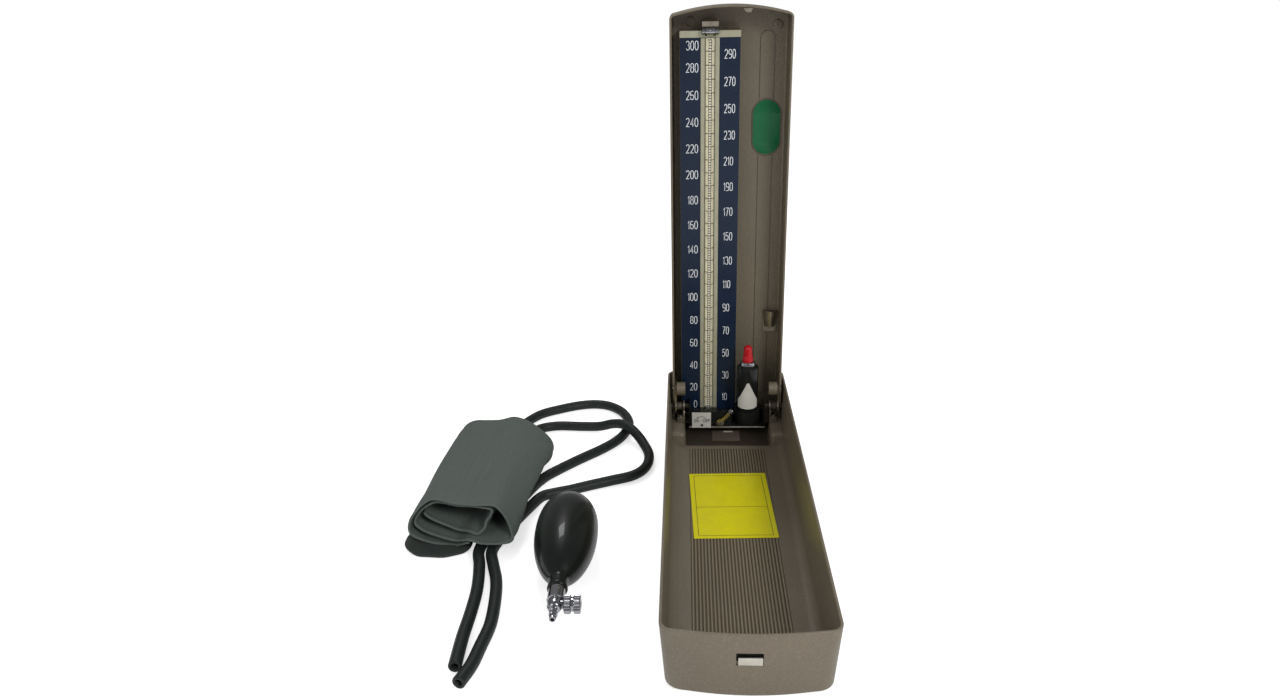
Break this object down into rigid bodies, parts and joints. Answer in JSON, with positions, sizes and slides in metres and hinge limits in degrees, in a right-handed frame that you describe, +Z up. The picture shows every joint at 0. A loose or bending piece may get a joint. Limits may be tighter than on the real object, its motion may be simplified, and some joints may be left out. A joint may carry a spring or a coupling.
{
  "type": "mercury sphygmomanometer",
  "caption": "Desk blood-pressure gauge: a long metal case with its lid standing open on the hinge, a mercury column and scale in the lid, a rolled arm cuff, hoses and a squeeze bulb.",
  "frame": {"origin": "centre of the case's underside, midway along its length and width", "axes": "+X to the right as one sits before the scale, +Y to the rear of the case where the lid stands, +Z up"},
  "size_m": [0.2713, 0.3674, 0.3376],
  "materials": {
    "case_paint": "taupe hammertone stove enamel, worn at the rim",
    "lid_paint": "dark olive-brown hammertone stove enamel",
    "yellow_label": "yellow printed label",
    "black_sheet": "matt black sheet",
    "bronze_plate": "bronze-lacquered thin plate",
    "plated_steel": "dull plated spring steel",
    "chrome": "polished nickel and chrome plating",
    "green_badge": "dark green enamelled badge",
    "navy_plate": "navy anodised scale plate",
    "ivory_card": "ivory card behind the tube",
    "aluminium_strip": "satin aluminium strip",
    "clear_glass": "clear glass tube",
    "mercury": "liquid mercury",
    "black_enamel": "gloss black enamel on cast iron",
    "brass": "turned brass, tarnished",
    "white_plate": "white painted thin plate",
    "red_cap": "soft red rubber cap",
    "cuff_cloth": "grey-green close-woven cotton cloth",
    "hose_rubber": "black-green rubber hose",
    "bulb_rubber": "glossy black moulded rubber"
  },
  "bodies": {
    "base": {"base_case": "case_paint", "floor_label": "yellow_label", "floor_pad": "black_sheet", "nameplate": "bronze_plate", "hinge_bracket_left": "plated_steel", "hinge_bracket_right": "plated_steel", "hinge_pins": "chrome", "bracket_screws": "chrome", "latch_spring": "plated_steel", "latch_rivet": "plated_steel"},
    "latch": {"latch_button": "chrome"},
    "lid": {"lid_shell": "lid_paint", "lid_badge": "green_badge", "lid_bumpers": "case_paint", "latch_hook": "chrome", "pocket_clip": "plated_steel", "hinge_plate_left": "plated_steel", "hinge_plate_right": "plated_steel", "plate_rivets": "plated_steel", "stay_curl_left": "plated_steel", "stay_curl_right": "plated_steel", "chassis": "plated_steel", "scale_housing": "lid_paint", "scale_plate_left": "navy_plate", "scale_plate_right": "navy_plate", "scale_backing": "ivory_card", "side_strips": "aluminium_strip", "glass_tube": "clear_glass", "mercury_column": "mercury", "top_bezel": "chrome", "tube_cap": "chrome", "tube_vent_plug": "black_sheet", "tube_clip": "plated_steel", "tube_foot": "black_enamel", "tap_block": "black_enamel", "on_off_plate": "white_plate", "reservoir_foot": "black_enamel", "reservoir_body": "black_enamel", "reservoir_decal": "white_plate", "reservoir_ring": "chrome", "reservoir_nozzle": "brass"},
    "tap": {"tap_spindle": "brass", "tap_lever": "brass", "tap_knob": "chrome", "tap_screw": "chrome"},
    "cap": {"nozzle_cap": "red_cap"},
    "cuff_set": {"cuff_roll": "cuff_cloth", "cuff_bladder": "hose_rubber", "cuff_flap": "cuff_cloth", "hose_a": "hose_rubber", "hose_b": "hose_rubber"},
    "bulb_set": {"bulb": "bulb_rubber", "bulb_inlet": "chrome", "valve_body": "chrome"},
    "valve_screw": {"thumb_screw": "chrome"}
  },
  "joints": [
    {"name": "lid_hinge", "type": "hinge", "parent": "base", "child": "lid", "pos_m": [0, 0.1406, 0.0236], "axis": [1, 0, 0], "range_deg": [0, 90]},
    {"name": "latch_press", "type": "slide", "parent": "base", "child": "latch", "axis": [0, 1, 0], "range_m": [0, 0.0007], "stiffness_N_per_m": 1500},
    {"name": "tap_turn", "type": "hinge", "parent": "lid", "child": "tap", "pos_m": [-0.0058, 0.1254, 0.0156], "axis": [0, -1, 0], "range_deg": [0, 90]},
    {"name": "cap_pull", "type": "slide", "parent": "lid", "child": "cap", "axis": [0, 0, 1], "range_m": [0, 0.03]},
    {"name": "cuff_lift", "type": "slide", "parent": "base", "child": "cuff_set", "axis": [0, 0, 1], "range_m": [0, 0.3]},
    {"name": "bulb_lift", "type": "slide", "parent": "base", "child": "bulb_set", "axis": [0, 0, 1], "range_m": [0, 0.3]},
    {"name": "valve_turn", "type": "hinge", "parent": "bulb_set", "child": "valve_screw", "pos_m": [-0.11039, -0.12449, 0.0205], "axis": [0.9997, 0.0227, 0], "range_deg": [0, 540]}
  ]
}
